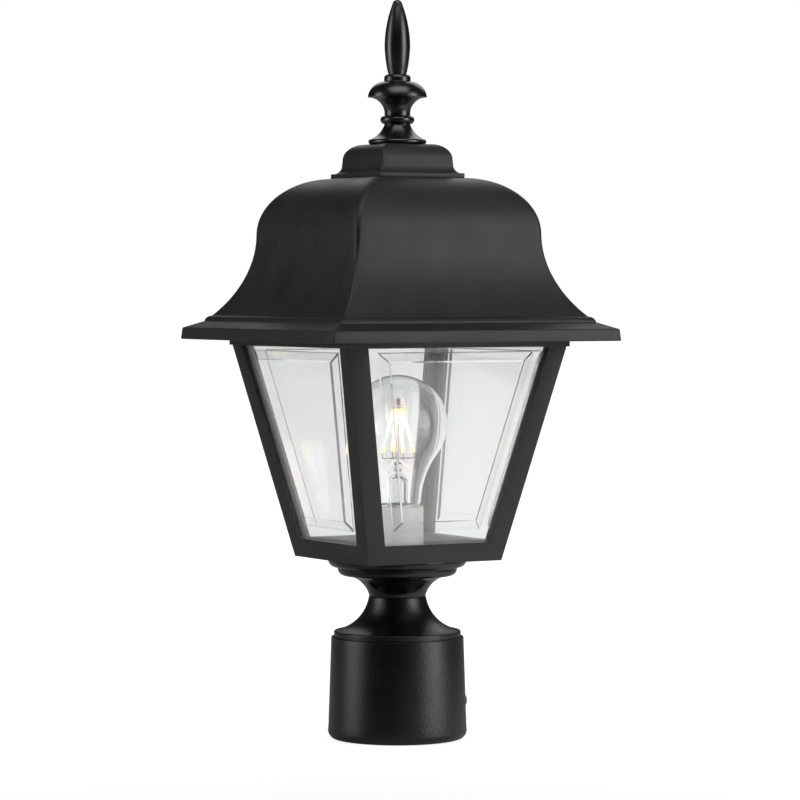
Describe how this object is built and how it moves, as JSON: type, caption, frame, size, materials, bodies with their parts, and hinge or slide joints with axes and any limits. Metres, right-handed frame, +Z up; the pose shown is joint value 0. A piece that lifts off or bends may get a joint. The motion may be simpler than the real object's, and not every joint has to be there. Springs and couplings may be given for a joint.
{
  "type": "post top lantern",
  "caption": "Square tapered outdoor lantern with bevelled clear panels, a bell roof with a turned finial, and a round fitter sleeve that slips over a lamp post.",
  "frame": {"origin": "on the post's axis at the sleeve's open mouth", "axes": "+Z up along the post, -Y to the front panel, +X to the right panel"},
  "size_m": [0.1966, 0.1966, 0.4486],
  "materials": {
    "textured_black": "fine moulded texture",
    "gloss_black": "gloss",
    "satin_black": "satin powder coat",
    "clear_acrylic": "clear, polished",
    "zinc_steel": "zinc plated",
    "black_steel": "black oxide",
    "socket_white": "smooth satin",
    "fibre": "plain",
    "brass": "bright",
    "bulb_glass": "clear",
    "nickel": "bright nickel",
    "black_glass": "gloss",
    "solder": "dull",
    "filament": "glowing phosphor",
    "lead_wire": "plain",
    "rubber": "matte"
  },
  "bodies": {
    "root": {"fitter_sleeve": "satin_black", "fitter_neck": "satin_black", "base_collar": "gloss_black", "nipple": "zinc_steel", "nipple_nuts": "zinc_steel", "nipple_washers": "zinc_steel", "lantern_frame": "textured_black", "panel_front": "clear_acrylic", "panel_right": "clear_acrylic", "panel_back": "clear_acrylic", "panel_left": "clear_acrylic", "top_ring": "textured_black", "ring_screws": "zinc_steel", "crossbar": "zinc_steel", "crossbar_screws": "zinc_steel", "tie_rod": "zinc_steel", "rod_nut": "zinc_steel", "socket_body": "socket_white", "socket_disc": "fibre", "socket_shell": "brass", "socket_contact": "brass"},
    "roof": {"roof": "textured_black", "roof_cap": "textured_black"},
    "finial_seat": {"finial_washer": "rubber"},
    "finial": {"finial": "gloss_black"},
    "bulb_seat": {"bulb_contact": "solder"},
    "bulb": {"bulb_envelope": "bulb_glass", "bulb_cap": "nickel", "bulb_insulator": "black_glass", "bulb_stem": "bulb_glass", "bulb_filaments": "filament", "bulb_wires": "lead_wire"},
    "set_screw_x": {"set_screw_x": "black_steel"},
    "set_screw_y": {"set_screw_y": "black_steel"}
  },
  "joints": [
    {"name": "roof_lift", "type": "slide", "parent": "root", "child": "roof", "axis": [0, 0, 1], "range_m": [0, 0.14]},
    {"name": "finial_rise", "type": "slide", "parent": "roof", "child": "finial_seat", "axis": [0, 0, 1], "range_m": [0, 0.016]},
    {"name": "finial_turn", "type": "hinge", "parent": "finial_seat", "child": "finial", "pos_m": [0, 0, 0.361], "axis": [0, 0, 1], "range_deg": [0, 4500]},
    {"name": "bulb_rise", "type": "slide", "parent": "root", "child": "bulb_seat", "axis": [0, 0, 1], "range_m": [0, 0.0185]},
    {"name": "bulb_turn", "type": "hinge", "parent": "bulb_seat", "child": "bulb", "pos_m": [0, 0, 0.1185], "axis": [0, 0, 1], "range_deg": [0, 1800]},
    {"name": "set_screw_x_travel", "type": "slide", "parent": "root", "child": "set_screw_x", "axis": [1, 0, 0], "range_m": [-0.0025, 0.0025]},
    {"name": "set_screw_y_travel", "type": "slide", "parent": "root", "child": "set_screw_y", "axis": [0, 1, 0], "range_m": [-0.0025, 0.0025]}
  ],
  "couplings": [
    {"joint": "finial_rise", "follows": "finial_turn", "m_per_rad": 0.00020213},
    {"joint": "bulb_rise", "follows": "bulb_turn", "m_per_rad": 0.0005775}
  ]
}
